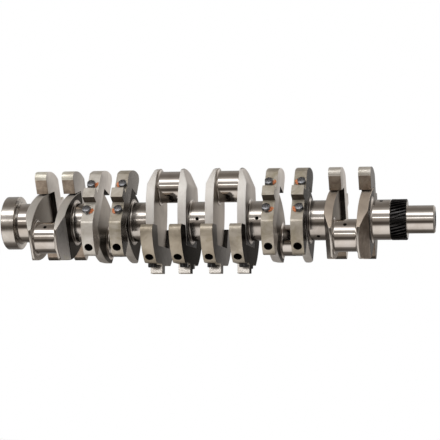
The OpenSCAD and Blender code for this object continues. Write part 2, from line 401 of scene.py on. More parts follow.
# ---------------------------------------------------------------- materials
class Nodes:
    """A short way to write one material's nodes."""

    def __init__(self, name):
        self.material = bpy.data.materials.new(name)
        self.material.use_nodes = True
        self.tree = self.material.node_tree
        self.shader = self.tree.nodes["Principled BSDF"]

    def add(self, kind, values=None, **settings):
        node = self.tree.nodes.new(kind)
        for key, value in settings.items():
            setattr(node, key, value)
        for key, value in (values or {}).items():
            node.inputs[key].default_value = value
        return node

    def link(self, source, target):
        self.tree.links.new(source, target)

    def place(self, scale=(1, 1, 1)):
        """Object coordinates stretched by scale."""
        coords = self.add("ShaderNodeTexCoord")
        mapping = self.add("ShaderNodeMapping", {"Scale": scale})
        self.link(coords.outputs["Object"], mapping.inputs["Vector"])
        return mapping.outputs["Vector"]

    def noise(self, vector, scale, detail=4, rough=0.5, distortion=0.0):
        node = self.add(
            "ShaderNodeTexNoise",
            {"Scale": scale, "Detail": detail, "Roughness": rough, "Distortion": distortion},
        )
        self.link(vector, node.inputs["Vector"])
        return node.outputs["Fac"]

    def ramp(self, fac, stops):
        node = self.add("ShaderNodeValToRGB")
        elements = node.color_ramp.elements
        while len(elements) < len(stops):
            elements.new(0.5)
        for element, (position, colour) in zip(elements, stops):
            element.position = position
            element.color = (*colour, 1) if len(colour) == 3 else colour
        self.link(fac, node.inputs["Fac"])
        return node.outputs["Color"]

    def spread(self, fac, low, high, out_low, out_high):
        node = self.add(
            "ShaderNodeMapRange",
            {"From Min": low, "From Max": high, "To Min": out_low, "To Max": out_high},
        )
        self.link(fac, node.inputs["Value"])
        return node.outputs["Result"]

    def mix(self, fac, a, b, blend="MIX"):
        node = self.add("ShaderNodeMix", data_type="RGBA", blend_type=blend)
        for value, socket in ((fac, 0), (a, 6), (b, 7)):
            if isinstance(value, bpy.types.NodeSocket):
                self.link(value, node.inputs[socket])
            else:
                node.inputs[socket].default_value = value
        return node.outputs[2]

    def bump(self, height, distance, strength=1.0, normal=None):
        node = self.add("ShaderNodeBump", {"Distance": distance, "Strength": strength})
        self.link(height, node.inputs["Height"])
        if normal is not None:
            self.link(normal, node.inputs["Normal"])
        return node.outputs["Normal"]

    def toned_ramp(self, fac, stops, tone, most=math.inf):
        """A ramp whose colours are multiplied by tone, up to most."""
        tones = [(at, tuple(min(most, a * b) for a, b in zip(rgb, tone))) for at, rgb in stops]
        return self.ramp(fac, tones)

    def painted_shade_below(self, colour, low, high, dark):
        """Painted shade: multiplies colour by dark below the height low, and leaves it above high."""
        coords = self.add("ShaderNodeTexCoord")
        split = self.add("ShaderNodeSeparateXYZ")
        self.link(coords.outputs["Object"], split.inputs["Vector"])
        height = self.spread(split.outputs["Z"], low, high, 0.0, 1.0)
        shade = self.ramp(height, [(0.0, (dark, dark, dark)), (1.0, (1, 1, 1))])
        return self.mix(1.0, colour, shade, "MULTIPLY")

    def set(self, **values):
        names = {"rough": "Roughness", "colour": "Base Color", "metal": "Metallic", "normal": "Normal",
                 "edge": "Specular Tint"}
        for key, value in values.items():
            socket = self.shader.inputs[names[key]]
            if key == "edge":
                value = (value, value, value, 1)
            if isinstance(value, bpy.types.NodeSocket):
                self.link(value, socket)
            else:
                socket.default_value = value
        return self.material


def ground_steel(name, level, roughness):
    """Ground and polished journals: fine marks round the shaft and faint stains."""
    n = Nodes(name)
    lines = n.noise(n.place((900, 4, 4)), 1.0, 3, 0.6)
    stains = n.noise(n.place(), 22, 5, 0.6, 0.4)
    stops = [(0.3, (0.52, 0.475, 0.43)), (0.55, (0.64, 0.6, 0.56)), (0.75, (0.68, 0.65, 0.62))]
    colour = n.toned_ramp(stains, stops, (level,) * 3)
    rough = n.spread(lines, 0.3, 0.7, roughness, 1.8 * roughness)
    return n.set(colour=colour, metal=1.0, rough=rough, normal=n.bump(lines, 0.004 * MM))


def turned_steel():
    """Turned faces of the flange, collars and nose: rings round the shaft."""
    n = Nodes("turned_steel")
    rings = n.noise(n.place((500, 12, 12)), 1.0, 2, 0.5)
    stains = n.noise(n.place(), 30, 4, 0.6)
    colour = n.ramp(stains, [(0.3, (0.52, 0.49, 0.45)), (0.7, (0.68, 0.65, 0.61))])
    rough = n.spread(rings, 0.3, 0.7, 0.15, 0.22)
    return n.set(colour=colour, metal=1.0, rough=rough, normal=n.bump(rings, 0.006 * MM))


def web_face(name, level, roughness, shaded_below=False):
    """Machined cheeks of the webs: smooth, with turning marks, and darkened towards the bottom as painted
    shade when the last argument is true.
    """
    n = Nodes(name)
    rings = n.noise(n.place((40, 260, 260)), 1.0, 2, 0.5)
    stains = n.noise(n.place(), 14, 5, 0.55, 0.3)
    stops = [(0.28, (0.17, 0.155, 0.14)), (0.55, (0.26, 0.245, 0.23)), (0.8, (0.34, 0.325, 0.305))]
    colour = n.toned_ramp(stains, stops, (level,) * 3)
    # Painted shade: the cheek darkens to nearly black from just above the main axis downwards, where the
    # web lies in shadow.
    if shaded_below:
        colour = n.painted_shade_below(colour, -0.01, 0.06, 0.02)
    rough = n.spread(stains, 0.3, 0.7, roughness, roughness + 0.12)
    edge = min(0.2 + 0.35 * level, 0.8)
    return n.set(colour=colour, metal=1.0, rough=rough, normal=n.bump(rings, 0.02 * MM), edge=edge)


def web_inner_face(name, level, shaded_below):
    """Cheeks on the crankpin's side: paler than the main side, and darkened towards the bottom as painted
    shade when the last argument is true.
    """
    n = Nodes(name)
    marks = n.noise(n.place((40, 160, 160)), 1.0, 2, 0.5)
    patches = n.noise(n.place(), 16, 5, 0.55, 0.3)
    stops = [(0.28, (0.44, 0.41, 0.37)), (0.55, (0.62, 0.58, 0.53)), (0.8, (0.7, 0.66, 0.61))]
    colour = n.toned_ramp(patches, stops, (level,) * 3)
    # Painted shade: the cheek darkens towards the bottom, where it lies in shadow.
    if shaded_below:
        colour = n.painted_shade_below(colour, -0.045, 0.02, 0.18)
    rough = n.spread(patches, 0.3, 0.7, 0.3, 0.42)
    return n.set(colour=colour, metal=1.0, rough=rough, normal=n.bump(marks, 0.04 * MM), edge=0.5)


def blasted_flank(name, level, metal):
    """Shot-blasted forged skin of the webs' edges: pale, matt and grainy."""
    n = Nodes(name)
    grain = n.noise(n.place(), 900, 3, 0.6)
    lumps = n.noise(n.place(), 60, 4, 0.6)
    patches = n.noise(n.place(), 18, 5, 0.6, 0.5)
    stops = [(0.25, (0.62, 0.58, 0.53)), (0.5, (0.88, 0.85, 0.8)), (0.75, (0.96, 0.94, 0.9))]
    colour = n.toned_ramp(patches, stops, level)
    speck = tuple(0.97 * v for v in level)
    colour = n.mix(n.spread(grain, 0.35, 0.65, 0.0, 0.45), colour, (*speck, 1))
    rough = n.spread(lumps, 0.3, 0.7, 0.42, 0.58)
    soft = n.bump(lumps, 0.4 * MM, 0.6)
    return n.set(colour=colour, metal=metal, rough=rough, normal=n.bump(grain, 0.12 * MM, 0.8, soft))


def shaded_hole():
    """Near-black walls of the oil holes and the other bores: painted shade inside the holes, with faint
    mottling.
    """
    n = Nodes("shaded_hole")
    hole_mottle = n.noise(n.place(), 200, 3)
    colour = n.ramp(hole_mottle, [(0.3, (0.03, 0.028, 0.026)), (0.7, (0.09, 0.085, 0.08))])
    return n.set(colour=colour, metal=0.9, rough=0.5)


def cast_weight(name, stain, tone):
    """Counterweights: grainy metal of the given tone with olive stains, more where stain is high."""
    n = Nodes(name)
    grain = n.noise(n.place(), 700, 4, 0.65)
    lumps = n.noise(n.place(), 90, 4, 0.6)
    patches = n.noise(n.place(), 16, 5, 0.6, 0.6)
    stops = [(0.28, (0.42, 0.385, 0.33)), (0.48, (0.7, 0.665, 0.595)), (0.72, (0.93, 0.91, 0.87))]
    base = n.toned_ramp(patches, stops, tone, 1.0)
    rust = n.spread(n.noise(n.place((1, 0.6, 1)), 26, 6, 0.7, 0.8), 0.62 - stain, 0.8 - stain, 0.0, 0.55)
    colour = n.mix(rust, base, (0.34, 0.29, 0.17, 1))
    rough = n.spread(lumps, 0.3, 0.7, 0.34, 0.52)
    soft = n.bump(lumps, 0.3 * MM, 0.5)
    return n.set(colour=colour, metal=0.6, rough=rough, normal=n.bump(grain, 0.1 * MM, 0.7, soft))


def weight_side(name, level, roughness, shaded_below=False):
    """Machined sides of the counterweights: turning marks, and darkened towards the bottom as painted shade
    when the last argument is true.
    """
    n = Nodes(name)
    marks = n.noise(n.place((40, 220, 220)), 1.0, 3, 0.5)
    patches = n.noise(n.place(), 12, 5, 0.55, 0.4)
    stops = [(0.28, (0.28, 0.265, 0.25)), (0.55, (0.4, 0.385, 0.365)), (0.8, (0.48, 0.465, 0.445))]
    colour = n.toned_ramp(patches, stops, (level,) * 3)
    # Painted shade: the side darkens towards the bottom, where it lies in shadow.
    if shaded_below:
        colour = n.painted_shade_below(colour, -0.13, -0.03, 0.5)
    rough = n.spread(marks, 0.3, 0.7, roughness, roughness + 0.12)
    edge = min(0.12 + 0.6 * level, 1.0)
    return n.set(colour=colour, metal=1.0, rough=rough, normal=n.bump(marks, 0.03 * MM), edge=edge)


def cast_end(name, level):
    """Brown cast skin on the ends of the arms and under the blocks. Its level makes copies: a paler one as
    painted light, a darker one as painted shade.
    """
    n = Nodes(name)
    grain = n.noise(n.place(), 600, 4, 0.6)
    patches = n.noise(n.place(), 55, 5, 0.65, 0.6)
    stops = [(0.3, (0.16, 0.125, 0.1)), (0.5, (0.25, 0.205, 0.165)), (0.68, (0.34, 0.29, 0.235))]
    colour = n.toned_ramp(patches, stops, (level,) * 3)
    return n.set(colour=colour, metal=0.7, rough=0.42, normal=n.bump(grain, 0.12 * MM, 0.8))


def block_front():
    """Milled fronts of the blocks: bright, with fine marks along the shaft."""
    n = Nodes("block_front")
    marks = n.noise(n.place((30, 1, 700)), 1.0, 3, 0.5)
    stains = n.noise(n.place(), 40, 5, 0.6, 0.5)
    stops = [(0.3, (0.66, 0.62, 0.57)), (0.55, (0.86, 0.84, 0.8)), (0.75, (0.93, 0.91, 0.88))]
    colour = n.ramp(stains, stops)
    rough = n.spread(stains, 0.3, 0.7, 0.28, 0.2)
    return n.set(colour=colour, metal=1.0, rough=rough, normal=n.bump(marks, 0.01 * MM))


def painted_seat_shade():
    """Near-black faces where a weight fits round its web: painted shade of the deep gap between weight and
    web, with faint mottling.
    """
    n = Nodes("painted_seat_shade")
    seat_mottle = n.noise(n.place(), 60, 4, 0.6)
    colour = n.ramp(seat_mottle, [(0.35, (0.012, 0.01, 0.009)), (0.7, (0.05, 0.044, 0.04))])
    return n.set(colour=colour, metal=0.7, rough=n.spread(seat_mottle, 0.3, 0.7, 0.3, 0.5))


def black_oxide():
    """The gear's black finish, with lighter patches of rubbed wear that partly serve as painted highlight
    streaks, and a thin coat of oil.
    """
    n = Nodes("black_oxide")
    wear_and_highlight = n.noise(n.place(), 90, 4, 0.7)
    stops = [(0.35, (0.02, 0.019, 0.02)), (0.6, (0.05, 0.048, 0.048)), (0.8, (0.13, 0.127, 0.124))]
    # Partly painted highlight: the lightest stop stands for glints along the teeth as well as wear.
    colour = n.ramp(wear_and_highlight, stops)
    rough = n.spread(wear_and_highlight, 0.3, 0.7, 0.16, 0.28)
    return n.set(colour=colour, metal=0.9, rough=rough, normal=n.bump(wear_and_highlight, 0.02 * MM))


def bolt_steel(name, level):
    """Dark zinc phosphate on the bolts."""
    n = Nodes(name)
    grain = n.noise(n.place(), 400, 4, 0.6)
    stops = [(0.3, (0.1, 0.103, 0.112)), (0.55, (0.22, 0.225, 0.24)), (0.8, (0.42, 0.425, 0.44))]
    colour = n.toned_ramp(grain, stops, (level,) * 3)
    rough = n.spread(grain, 0.3, 0.7, 0.2, 0.34)
    return n.set(colour=colour, metal=0.9, rough=rough, normal=n.bump(grain, 0.05 * MM))


def inspection_paint():
    """Orange inspection paint dabbed beside the bolts."""
    n = Nodes("inspection_paint")
    thick = n.noise(n.place(), 300, 4, 0.6)
    colour = n.ramp(thick, [(0.3, (0.5, 0.09, 0.03)), (0.5, (0.86, 0.27, 0.09)), (0.75, (0.92, 0.5, 0.32))])
    return n.set(colour=colour, metal=0.0, rough=0.55, normal=n.bump(thick, 0.2 * MM))


def pale_floor():
    n = Nodes("pale_floor")
    shade = n.noise(n.place(), 3, 3)
    colour = n.ramp(shade, [(0.3, (0.86, 0.85, 0.84)), (0.7, (0.9, 0.89, 0.88))])
    return n.set(colour=colour, rough=0.8)


MATERIALS = {
    "ground_steel": ground_steel("ground_steel", 1.0, 0.05),
    # Painted shade: a rougher copy for the middle main journals, darkened to 0.85 where the webs and
    # weights round them block the light.
    "satin_steel_shaded": ground_steel("satin_steel_shaded", 0.85, 0.11),
    "web_face": web_face("web_face", 0.45, 0.16),
    # Webs 6 and 8: a pale cheek with painted shade towards the bottom.
    "web_face_pale": web_face("web_face_pale", 2.4, 0.34, True),
    "relief_face": web_face("relief_face", 2.4, 0.3),
    "relief_face_pale": web_face("relief_face_pale", 5.0, 0.4),
    "forged_brown": cast_end("forged_brown", 1.0),
    "web_inner_face": web_inner_face("web_inner_face", 1.15, False),
    # Webs 3 and 9: painted shade towards the bottom of the pin-side cheek.
    "web_inner_shaded": web_inner_face("web_inner_shaded", 1.0, True),
    "web_inner_dim": web_inner_face("web_inner_dim", 0.9, False),
    "blasted_flank": blasted_flank("blasted_flank", (1.0, 1.0, 1.0), 0.3),
    "grey_flank": blasted_flank("grey_flank", (0.76, 0.75, 0.73), 0.55),
    "brown_flank": blasted_flank("brown_flank", (0.74, 0.66, 0.58), 0.6),
    "turned_steel": turned_steel(),
    "shaded_hole": shaded_hole(),
    "weight_side": weight_side("weight_side", 0.8, 0.2),
    # Painted shade: darker copies for the main sides of weights 6, 8 and 10, in the shadow of the next
    # weight.
    "weight_side_deep_shade": weight_side("weight_side_deep_shade", 0.26, 0.24),
    "weight_side_shade": weight_side("weight_side_shade", 0.45, 0.2),
    # Painted light: a lighter copy for weight 2's main side, lit on its raised hook.
    "weight_side_lit": weight_side("weight_side_lit", 1.2, 0.3),
    "weight_inner_side": weight_side("weight_inner_side", 2.0, 0.34),
    # Weights 5 and 7: a darker brown pin side with painted shade towards the bottom.
    "weight_inner_brown": weight_side("weight_inner_brown", 0.85, 0.32, True),
    "block_front": block_front(),
    "cast_end": cast_end("cast_end", 1.0),
    # Painted light: a paler copy for the arm ends of weights 1 and 2, lit from the left.
    "cast_end_lit": cast_end("cast_end_lit", 1.8),
    # Painted shade: a much darker copy for the lower arms of the end throws and the block sides that face
    # down.
    "cast_end_shaded": cast_end("cast_end_shaded", 0.38),
    "painted_seat_shade": painted_seat_shade(),
    "weight_bright": cast_weight("weight_bright", 0.0, (1.5, 1.48, 1.45)),
    "weight_clean": cast_weight("weight_clean", 0.0, (1.0, 1.0, 1.0)),
    "weight_brown": cast_weight("weight_brown", 0.06, (0.76, 0.71, 0.63)),
    "weight_stained": cast_weight("weight_stained", 0.14, (0.78, 0.75, 0.7)),
    "black_oxide": black_oxide(),
    "bolt_steel": bolt_steel("bolt_steel", 1.0),
    # Painted shade: a darker copy for the bolts of weights 5 to 8, which sit low under the shaft in shadow.
    "bolt_shaded": bolt_steel("bolt_shaded", 0.3),
    "inspection_paint": inspection_paint(),
}
FORGING = [MATERIALS[name] for name in FORGING_MATERIALS]


# ---------------------------------------------------------------- forging
def flank(s):
    """Half width of a web at height s above the main axis."""
    if s < WEB_WIDE_AT:
        return WEB_HALF - WEB_TAPER * (WEB_WIDE_AT - s) ** 2
    return WEB_HALF - WEB_BEND + math.sqrt(WEB_BEND ** 2 - (s - WEB_WIDE_AT) ** 2)


def flank_height(radius):
    """Height at which a web's flank is radius away from the main axis."""
    low, high = WEB_WIDE_AT, WEB_TIP
    for _ in range(40):
        s = (low + high) / 2
        if math.hypot(flank(s), s) < radius:
            low = s
        else:
            high = s
    return low


def web_outline(ridge):
    """A web's outline from seat to seat as (t, s), and how many points are on each flank."""
    corner = flank_height(WEB_TIP)
    heights = list(np.linspace(-SEAT, ridge, 18)) + list(np.linspace(ridge, corner, 8))[1:]
    side = [(flank(s), s) for s in heights]
    start = math.degrees(math.atan2(corner, flank(corner)))
    half = side + arc(0, 0, WEB_TIP, start, 90, 10)[1:]
    return half + [(-t, s) for t, s in reversed(half[:-1])], len(side)


def web_shell(extra, face_number, relief_number, flank_number, inner_number):
    """One web as rings round its outline, with rounded edges, and both faces in strips."""
    ridge = RELIEF_FROM - extra / RELIEF_SLOPE
    outline, on_flank = web_outline(ridge)
    count = len(outline)
    normals = []
    for j in range(count):
        a, b = outline[max(j - 1, 0)], outline[min(j + 1, count - 1)]
        dt, ds = b[0] - a[0], b[1] - a[1]
        size = math.hypot(dt, ds)
        normals.append((ds / size, -dt / size))
    steps = 4
    turn = [math.pi / 2 * j / steps for j in range(steps + 1)]
    low = [(WEB_EDGE * (1 - math.sin(a)), WEB_EDGE * (1 - math.cos(a))) for a in turn]

    def ring(inset):
        return [(t - n[0] * inset, s - n[1] * inset) for (t, s), n in zip(outline, normals)]

    def relief(s):
        return max(-extra, (s - RELIEF_FROM) * RELIEF_SLOPE)

    rings = [[(relief(s) + depth, t, s) for t, s in ring(inset)] for inset, depth in low]
    rings += [[(WEB_LEN - depth, t, s) for t, s in ring(inset)] for inset, depth in reversed(low)]
    verts = [v for row in rings for v in row]
    faces = strips(len(rings), count)
    edge = [TURNED if on_flank - 1 <= j < count - on_flank else flank_number for j in range(count)]
    numbers = edge * (len(rings) - 1)
    for base, side in ((0, "main"), ((len(rings) - 1) * count, "pin")):
        for j in range(count // 2):
            a, b, c, d = base + j, base + j + 1, base + count - 2 - j, base + count - 1 - j
            faces.append((a, b, d) if b == c else (a, b, c, d))
            if side == "pin":
                numbers.append(inner_number)
            else:
                numbers.append(face_number if outline[j + 1][1] <= ridge + TINY else relief_number)
    return verts, faces, numbers


def web_shells():
    webs = Shells()
    for i in range(1, WEBS + 1):
        extra = LAST_WEB_EXTRA if i == WEBS else 0
        numbers = (
            WEB_FACES.get(i, FACE), WEB_RELIEFS.get(i, RELIEF),
            WEB_FLANKS.get(i, FLANK), WEB_INNERS.get(i, INNER),
        )
        webs.add(*web_shell(extra, *numbers), at_web(i))
    return webs


def flange_shell():
    """The flywheel flange and main journal 1, from the flange's outer face."""
    back = FLANGE_LEN + FLANGE_BACK_LEN
    f = FLANGE_BACK_FILLET
    flange = [
        (0, 0), (0, FLANGE_R - FLANGE_CHAMFER), (FLANGE_CHAMFER, FLANGE_R),
        (FLANGE_LEN - FLANGE_CHAMFER, FLANGE_R), (FLANGE_LEN, FLANGE_R - FLANGE_CHAMFER),
        (FLANGE_LEN, FLANGE_BACK_R), (back - MM, FLANGE_BACK_R - 2.2 * MM), (back, FLANGE_BACK_R - 3 * MM),
    ]
    flange += arc(back + f, MAIN_R + f, f, -180, -90, 3)
    flange_numbers = [TURNED] * 8 + [GROUND] * 4
    profile, numbers = journal_profile(FIRST_WEB_X - FLANGE_LEN, MAIN_R, MAIN_COLLAR_R, low=False)
    profile = [(x + FLANGE_LEN, r) for x, r in profile[2:]]
    return lathe(flange + profile, JOURNAL_STEPS, flange_numbers + numbers[2:])


def nose_shell():
    """Main journal 7, the gear's seat and the nose, from the last web."""
    end_x = forging_high.x - LAST_MAIN_X
    gear_x = gear_low.x - LAST_MAIN_X
    gear_end_x = gear_high.x - LAST_MAIN_X
    profile, numbers = journal_profile(gear_x - EMBED, MAIN_R, MAIN_COLLAR_R, high=False)
    profile[-2:] = [
        (gear_x - SHOULDER_CHAMFER, MAIN_R), (gear_x, MAIN_R - SHOULDER_CHAMFER),
        (gear_x, GEAR_SEAT_R), (gear_end_x, GEAR_SEAT_R), (gear_end_x, NOSE_R),
        (end_x - NOSE_CHAMFER, NOSE_R), (end_x, NOSE_R - NOSE_CHAMFER), (end_x, 0),
    ]
    numbers[-1:] = [TURNED] * 4 + [GROUND] + [TURNED] * 2
    return lathe(profile, JOURNAL_STEPS, numbers)


def journal_shells():
    """All the turned parts of the forging."""
    turned = Shells()
    turned.add(*flange_shell())
    for k in range(THROWS - 1):
        profile, numbers = journal_profile(MAIN_LEN, MAIN_R, MAIN_COLLAR_R)
        # The middle main journals get the rougher copy, darkened as painted shade.
        numbers = [SATIN_SHADED if number == GROUND else number for number in numbers]
        start = Matrix.Translation((web_face_x(2 * k + 2), 0, 0))
        turned.add(*lathe(profile, JOURNAL_STEPS, numbers), start)
    turned.add(*nose_shell(), Matrix.Translation((LAST_MAIN_X, 0, 0)))
    for centre in pin_centres:
        profile, numbers = journal_profile(PIN_LEN, PIN_R, PIN_COLLAR_R)
        start = centre - Vector((PIN_LEN / 2, 0, 0))
        turned.add(*lathe(profile, PIN_STEPS, numbers), Matrix.Translation(start))
    return turned


def hole_shells():
    """The oil holes, the flange's bolt holes and pilot bore, and the recess in the nose."""
    cutters = Shells()
    hole = cutter_cylinder(OIL_R, -OIL_DEPTH, PAST + MM, 32, OIL_EASE, 0)
    mains = [mounts[f"main_journal_{j}"]["pos_m"][0] for j in range(1, THROWS + 2)]
    for x, angle in zip(mains, MAIN_OIL_ANGLES):
        turn = Matrix.Rotation(math.radians(angle), 4, "X")
        cutters.add(*hole, Matrix.Translation((x, 0, 0)) @ turn @ Matrix.Translation((0, 0, MAIN_R)))
    for k, centre in enumerate(pin_centres):
        turn = Matrix.Rotation(throw_angle(k) + math.radians(PIN_OIL_TURN), 4, "X")
        cutters.add(*hole, Matrix.Translation(centre) @ turn @ Matrix.Translation((0, 0, PIN_R)))

    pattern = mounts["flywheel_bolts"]["dims"]
    outward = Matrix.Rotation(math.radians(-90), 4, "Y")
    bolt_hole = cutter_cylinder(pattern["hole_r_mm"] * MM, -FLANGE_HOLE_DEPTH, PAST, 40, HOLE_EASE, 0)
    for j in range(pattern["count"]):
        turn = Matrix.Rotation(2 * math.pi * (j + 0.5) / pattern["count"], 4, "X")
        place = Matrix.Translation((0, 0, pattern["pcd_mm"] / 2 * MM))
        cutters.add(*bolt_hole, turn @ place @ outward)
    cutters.add(*cutter_cylinder(PILOT_R, -PILOT_LEN, PAST, 96, HOLE_EASE, 0), outward)
    cutters.add(*cutter_cylinder(RECESS_R, -RECESS_DEPTH, PAST, 72), at_nose_end())
    return cutters


def at_nose_end():
    """Places a local frame at the nose's end face, with Z outwards."""
    return Matrix.Translation((forging_high.x, 0, 0)) @ Matrix.Rotation(math.radians(90), 4, "Y")


def build_forging():
    webs, turned, holes = web_shells(), journal_shells(), hole_shells()
    thread = Shells()
    bottom = -RECESS_DEPTH - THREAD_LEN
    thread.add(*cutter_cylinder(THREAD_R, bottom, -3 * MM, 40, HOLE_EASE, -RECESS_DEPTH), at_nose_end())

    forging = turned.build("forging", FORGING)
    combine(forging, webs.build("webs", FORGING), "UNION")
    combine(forging, holes.build("cutters", FORGING), "DIFFERENCE")
    combine(forging, thread.build("thread", FORGING), "DIFFERENCE")
    smooth(forging)
    weighted(forging)
    return finish_piece(forging, "crank_forging")


# ---------------------------------------------------------------- counterweights
def half_weight(arm_end):
    """Half of a counterweight's outline, from the seat round to the block, as (t, c)."""
    tip_angle = math.asin((arm_end + ARM_CORNER) / (WEIGHT_R - ARM_CORNER))
    land_angle = math.asin((LAND - LAND_CORNER) / (WEIGHT_R - LAND_CORNER))
    tip = WEIGHT_R - ARM_CORNER
    land = WEIGHT_R - LAND_CORNER
    points = [(ARM_GAP_SEAT, SEAT + SEAT_CLEAR), (ARM_GAP_END, arm_end)]
    points += arc(tip * math.cos(tip_angle), tip * math.sin(tip_angle), ARM_CORNER, -90,
                  math.degrees(tip_angle), 8)
    points += arc(0, 0, WEIGHT_R, math.degrees(tip_angle), math.degrees(land_angle), 22)[1:-1]
    points += arc(land * math.cos(land_angle), land * math.sin(land_angle), LAND_CORNER,
                  math.degrees(land_angle), 90, 6)
    points += [(BLOCK_HALF, LAND), (BLOCK_HALF, WEIGHT_R - BLOCK_CHAMFER)]
    points += [(BLOCK_HALF - BLOCK_CHAMFER, WEIGHT_R)]
    return points


def weight_outline(k):
    """The whole outline of throw k's weights. The first arm lies a quarter turn on from the throw."""
    first, second = (half_weight(end * MM) for end in ARM_ENDS[k])
    return [(-t, c) for t, c in first] + [(t, c) for t, c in reversed(second)]


def paint_dab(i, side):
    """A lumpy, flattened dab of paint beside a bolt, at the pin side of the land."""
    rows, steps = 8, 20
    verts = []
    for row in range(rows + 1):
        a = math.pi * row / rows
        for j in range(steps):
            b = 2 * math.pi * j / steps
            lump = 1 + 0.22 * math.sin(2 * b + i) + 0.12 * math.sin(5 * b + 2.3 * i + side)
            wide = lump * math.sin(a)
            x, y = DAB_SIZE[0] * wide * math.cos(b), DAB_SIZE[1] * wide * math.sin(b)
            verts.append((x, y, DAB_SIZE[2] * math.cos(a)))
    centre = Vector((WEIGHT_LEN - 8 * MM, side * (BOLT_SIDE + 1.5 * MM), -LAND + 0.6 * MM))
    return verts, strips(rows + 1, steps), at_web(i) @ Matrix.Translation(centre)


def add_shell(obj, verts, faces, matrix, number):
    """Adds one closed shell to a mesh under material number."""
    bm = bmesh.new()
    bm.from_mesh(obj.data)
    made = [bm.verts.new(matrix @ Vector(v)) for v in verts]
    new = [bm.faces.new([made[n] for n in face]) for face in faces]
    for face in new:
        face.material_index = number
    bmesh.ops.remove_doubles(bm, verts=made, dist=1e-7)
    bmesh.ops.recalc_face_normals(bm, faces=[f for f in new if f.is_valid])
    bm.to_mesh(obj.data)
    bm.free()


def weight_numbers(i, outline):
    """The material number of each face of a weight's block: both sides, then round its outline."""
    count = len(outline)
    lower_arm_end = count // 2 - 4 if i in LOW_ARM_WEIGHTS else 0
    numbers = [MAIN_SIDE, PIN_SIDE]
    for j in range(count):
        # Painted shade: the seat faces in the gap round the web.
        if j in (0, count - 2, count - 1):
            numbers.append(SEAT_SHADE)
        elif j in (1, count - 3):
            numbers.append(ARM_END)
        else:
            # Painted shade on the lower arms of the end throws' weights.
            numbers.append(SHADED_UNDERSIDE if j < lower_arm_end else RIM)
    foot = [
        j for j, (t, c) in enumerate(outline)
        if abs(c - LAND) < TINY and abs(abs(t) - BLOCK_HALF) < TINY
    ]
    # Painted shade on the downward block sides of the weights with inspection paint; milled fronts on the
    # others.
    if i in PAINTED_WEIGHTS + LIT_BLOCKS:
        number = SHADED_UNDERSIDE if i in PAINTED_WEIGHTS else BLOCK_FRONT
        numbers[2 + foot[0]] = number
        numbers[2 + foot[1] - 1] = number
    return numbers


def weight_materials(i):
    names = (
        RIM_MATERIALS.get(i, "weight_clean"), MAIN_SIDE_MATERIALS.get(i, "weight_side"), "shaded_hole",
        PIN_SIDE_MATERIALS.get(i, "weight_inner_side"), "painted_seat_shade", "inspection_paint",
        ARM_END_MATERIALS.get(i, "cast_end"), "cast_end_shaded", "block_front",
    )
    return [MATERIALS[name] for name in names]


def weight_cutters(i):
    """The flats under a weight's two bolts, and its balance hole."""
    cutters = Shells()
    spot = cutter_cylinder(SPOT_R, 0, 30 * MM, 56)
    for side in (-1, 1):
        seat = Matrix.Translation((BOLT_X, side * BOLT_SIDE, -(LAND - SPOT_DEPTH)))
        place = at_web(i) @ seat @ Matrix.Rotation(math.pi, 4, "X")
        cutters.add(spot[0], spot[1], [RIM] * len(spot[1]), place)
    turn = Matrix.Rotation(math.pi + math.radians(BALANCE_ANGLES[(i - 1) // 2]), 4, "X")
    low, high = WEIGHT_R - BALANCE_DEPTH, WEIGHT_R + 2 * PAST
    hole = cutter_cylinder(BALANCE_R, low, high, 48, BALANCE_EASE, WEIGHT_R)
    place = at_web(i) @ turn @ Matrix.Translation((weight_step(i) + WEIGHT_LEN / 2, 0, 0))
    cutters.add(hole[0], hole[1], [BALANCE_HOLE] * len(hole[1]), place)
    return cutters


def build_weight(i):
    outline = weight_outline((i - 1) // 2)
    count = len(outline)
    step = weight_step(i)
    verts = [(x, t, -c) for x in (step, step + WEIGHT_LEN) for t, c in outline]
    faces = [tuple(range(count)), tuple(range(2 * count - 1, count - 1, -1))]
    for j in range(count):
        k = (j + 1) % count
        faces.append((k, j, count + j, count + k))
    shells = Shells()
    shells.add(verts, faces, weight_numbers(i, outline), at_web(i))
    materials = weight_materials(i)
    weight = shells.build(f"weight_{i}", materials)
    bevel = weight.modifiers.new("edges", "BEVEL")
    bevel.width = WEIGHT_EDGE
    bevel.segments = 4
    bevel.limit_method = "ANGLE"
    bevel.angle_limit = math.radians(40)
    bevel.use_clamp_overlap = True
    bpy.context.view_layer.update()
    apply_modifiers(weight)
    combine(weight, weight_cutters(i).build("weight_cutters", materials), "DIFFERENCE")
    if i in PAINTED_WEIGHTS:
        for side in (-1, 1):
            add_shell(weight, *paint_dab(i, side), PAINT)
    smooth(weight)
    weighted(weight)
    return finish_piece(weight, f"counterweight_{i}")


def hex_head():
    """A hexagon head along +Z with a chamfered top."""
    half = BOLT_AF / 2
    corner = half / math.cos(math.pi / 6)
    steps = 60
    verts = []

    def add_ring(z, radius=None, lift=0.0):
        """A hexagon, or a circle if it has a radius, lifted where it is narrower than its corners."""
        for j in range(steps):
            a = 2 * math.pi * j / steps
            r = radius or half / math.cos((a + math.pi / 6) % (math.pi / 3) - math.pi / 6)
            verts.append((r * math.cos(a), r * math.sin(a), z + (corner - r) * lift))

    add_ring(0)
    add_ring(BOLT_HEAD - 1.5 * MM, lift=0.5)
    add_ring(BOLT_HEAD - 0.2 * MM, half - 0.15 * MM)
    add_ring(BOLT_HEAD, half - 0.6 * MM)
    faces = strips(4, steps)
    faces.append(tuple(reversed(range(steps))))
    faces.append(tuple(range(3 * steps, 4 * steps)))
    return verts, faces, [0] * len(faces)


